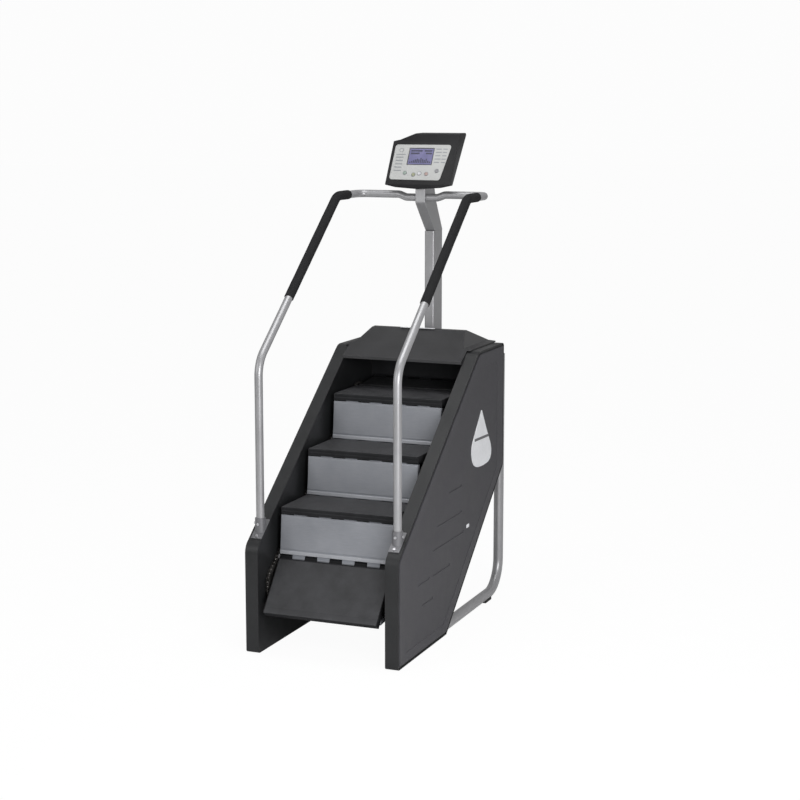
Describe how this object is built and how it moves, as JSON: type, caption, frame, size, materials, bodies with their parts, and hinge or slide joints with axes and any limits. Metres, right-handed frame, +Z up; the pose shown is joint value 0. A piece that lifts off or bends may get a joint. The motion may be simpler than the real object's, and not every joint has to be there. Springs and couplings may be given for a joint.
{
  "type": "stair climber",
  "caption": "Revolving staircase exercise machine: linked treads and risers between two walls, bent handrails with foam grips, rear legs, mast and display console.",
  "frame": {"origin": "centre of the footprint on the floor", "axes": "+X to the user's right, +Y from the entry towards the console, +Z up"},
  "size_m": [0.705, 1.3704, 2.172],
  "materials": {
    "wall_plastic": "black moulded plastic, fine texture",
    "cover_plastic": "charcoal moulded plastic",
    "hood_plastic": "black moulded plastic",
    "badge": "satin silver plate, blank",
    "plate_steel": "dark painted steel",
    "rubber": "matte",
    "silver_paint": "silver-grey paint",
    "foam": "closed-cell foam sleeve",
    "bright_steel": "zinc plated",
    "chain_steel": "oiled steel",
    "cast_metal": "cast and machined",
    "belt_rubber": "ribbed belt",
    "tread_plastic": "black ribbed tread",
    "riser_metal": "grey anodised",
    "console_plastic": "black moulded plastic",
    "overlay": "light grey printed film, blank",
    "screen": "blue-violet display",
    "board": "circuit board",
    "key": "grey keys",
    "key_stop": "darker key"
  },
  "bodies": {
    "frame": {"wall_right": "wall_plastic", "wall_left": "wall_plastic", "side_cover_right": "cover_plastic", "side_cover_left": "cover_plastic", "badges": "badge", "side_plates": "plate_steel", "hood": "hood_plastic", "rear_cover": "hood_plastic", "belly_panel": "hood_plastic", "rubber_feet": "rubber", "leg_tube_right": "silver_paint", "leg_tube_left": "silver_paint", "frame_tubes": "silver_paint", "mast": "silver_paint", "mast_neck": "silver_paint", "handrail_right": "silver_paint", "handrail_left": "silver_paint", "grip_right": "foam", "grip_left": "foam", "rail_brackets": "bright_steel", "bracket_bolts": "bright_steel", "chain_loops": "chain_steel", "track_rails": "plate_steel", "shaft_bearings": "chain_steel", "drive_belt": "belt_rubber", "alternator": "cast_metal", "console_shell": "console_plastic", "console_overlay": "overlay", "console_screen": "screen", "console_board": "board", "console_bracket": "silver_paint"},
    "front_step_1": {"tread_1": "tread_plastic", "riser_1": "riser_metal", "step_1_axles": "bright_steel"},
    "front_step_2": {"tread_2": "tread_plastic", "riser_2": "riser_metal", "step_2_axles": "bright_steel"},
    "front_step_3": {"tread_3": "tread_plastic", "riser_3": "riser_metal", "step_3_axles": "bright_steel"},
    "lower_step": {"lower_tread": "tread_plastic", "lower_riser": "riser_metal"},
    "upper_step": {"upper_tread": "tread_plastic", "upper_riser": "riser_metal"},
    "return_steps": {"return_treads": "tread_plastic", "return_risers": "riser_metal", "return_axles": "bright_steel"},
    "drive": {"drive_shaft": "bright_steel", "drive_sprockets": "chain_steel", "drive_pulley": "cast_metal"},
    "idler": {"idler_shaft": "bright_steel", "idler_sprockets": "chain_steel"},
    "rotor": {"alternator_shaft": "bright_steel", "alternator_pulley": "cast_metal"},
    "key_1": {"key_1": "key"},
    "key_2": {"key_2": "key"},
    "key_3": {"key_3": "key"},
    "key_4": {"key_4": "key"},
    "key_5": {"key_5": "key_stop"}
  },
  "joints": [
    {"name": "drive_turn", "type": "hinge", "parent": "frame", "child": "drive", "pos_m": [0, 0.377, 0.93186], "axis": [1, 0, 0], "range_deg": [0, 51.43]},
    {"name": "idler_turn", "type": "hinge", "parent": "frame", "child": "idler", "pos_m": [0, -0.51302, 0.27711], "axis": [1, 0, 0], "range_deg": [0, 51.44]},
    {"name": "rotor_turn", "type": "hinge", "parent": "frame", "child": "rotor", "pos_m": [0, 0.50415, 0.64], "axis": [1, 0, 0], "range_deg": [0, 171.5]},
    {"name": "step_1_travel", "type": "slide", "parent": "frame", "child": "front_step_1", "axis": [0, -0.8055, -0.5926], "range_m": [0, 0.07621]},
    {"name": "step_2_travel", "type": "slide", "parent": "frame", "child": "front_step_2", "axis": [0, -0.8055, -0.5926], "range_m": [0, 0.07621]},
    {"name": "step_3_travel", "type": "slide", "parent": "frame", "child": "front_step_3", "axis": [0, -0.8055, -0.5926], "range_m": [0, 0.07621]},
    {"name": "return_travel", "type": "slide", "parent": "frame", "child": "return_steps", "axis": [0, 0.8055, 0.5926], "range_m": [0, 0.07621]},
    {"name": "lower_step_fold", "type": "hinge", "parent": "front_step_1", "child": "lower_step", "pos_m": [0, -0.50205, 0.3908], "axis": [1, 0, 0], "range_deg": [0, 48.26]},
    {"name": "upper_step_unfold", "type": "hinge", "parent": "front_step_3", "child": "upper_step", "pos_m": [0, 0.32655, 1.0004], "axis": [1, 0, 0], "range_deg": [0, 48.26]},
    {"name": "key_1_press", "type": "slide", "parent": "frame", "child": "key_1", "axis": [0, 0.8718, -0.4898], "range_m": [0, 0.001], "stiffness_N_per_m": 500, "springref_m": -0.0005},
    {"name": "key_2_press", "type": "slide", "parent": "frame", "child": "key_2", "axis": [0, 0.8718, -0.4898], "range_m": [0, 0.001], "stiffness_N_per_m": 500, "springref_m": -0.0005},
    {"name": "key_3_press", "type": "slide", "parent": "frame", "child": "key_3", "axis": [0, 0.8718, -0.4898], "range_m": [0, 0.001], "stiffness_N_per_m": 500, "springref_m": -0.0005},
    {"name": "key_4_press", "type": "slide", "parent": "frame", "child": "key_4", "axis": [0, 0.8718, -0.4898], "range_m": [0, 0.001], "stiffness_N_per_m": 500, "springref_m": -0.0005},
    {"name": "key_5_press", "type": "slide", "parent": "frame", "child": "key_5", "axis": [0, 0.8718, -0.4898], "range_m": [0, 0.001], "stiffness_N_per_m": 500, "springref_m": -0.0005}
  ],
  "couplings": [
    {"joint": "idler_turn", "follows": "drive_turn", "ratio": 1},
    {"joint": "rotor_turn", "follows": "drive_turn", "ratio": 3.3333},
    {"joint": "step_1_travel", "follows": "drive_turn", "m_per_rad": 0.084893},
    {"joint": "step_2_travel", "follows": "drive_turn", "m_per_rad": 0.084893},
    {"joint": "step_3_travel", "follows": "drive_turn", "m_per_rad": 0.084893},
    {"joint": "return_travel", "follows": "drive_turn", "m_per_rad": 0.084893},
    {"joint": "lower_step_fold", "follows": "drive_turn", "ratio": 0.93817},
    {"joint": "upper_step_unfold", "follows": "drive_turn", "ratio": 0.93817}
  ]
}
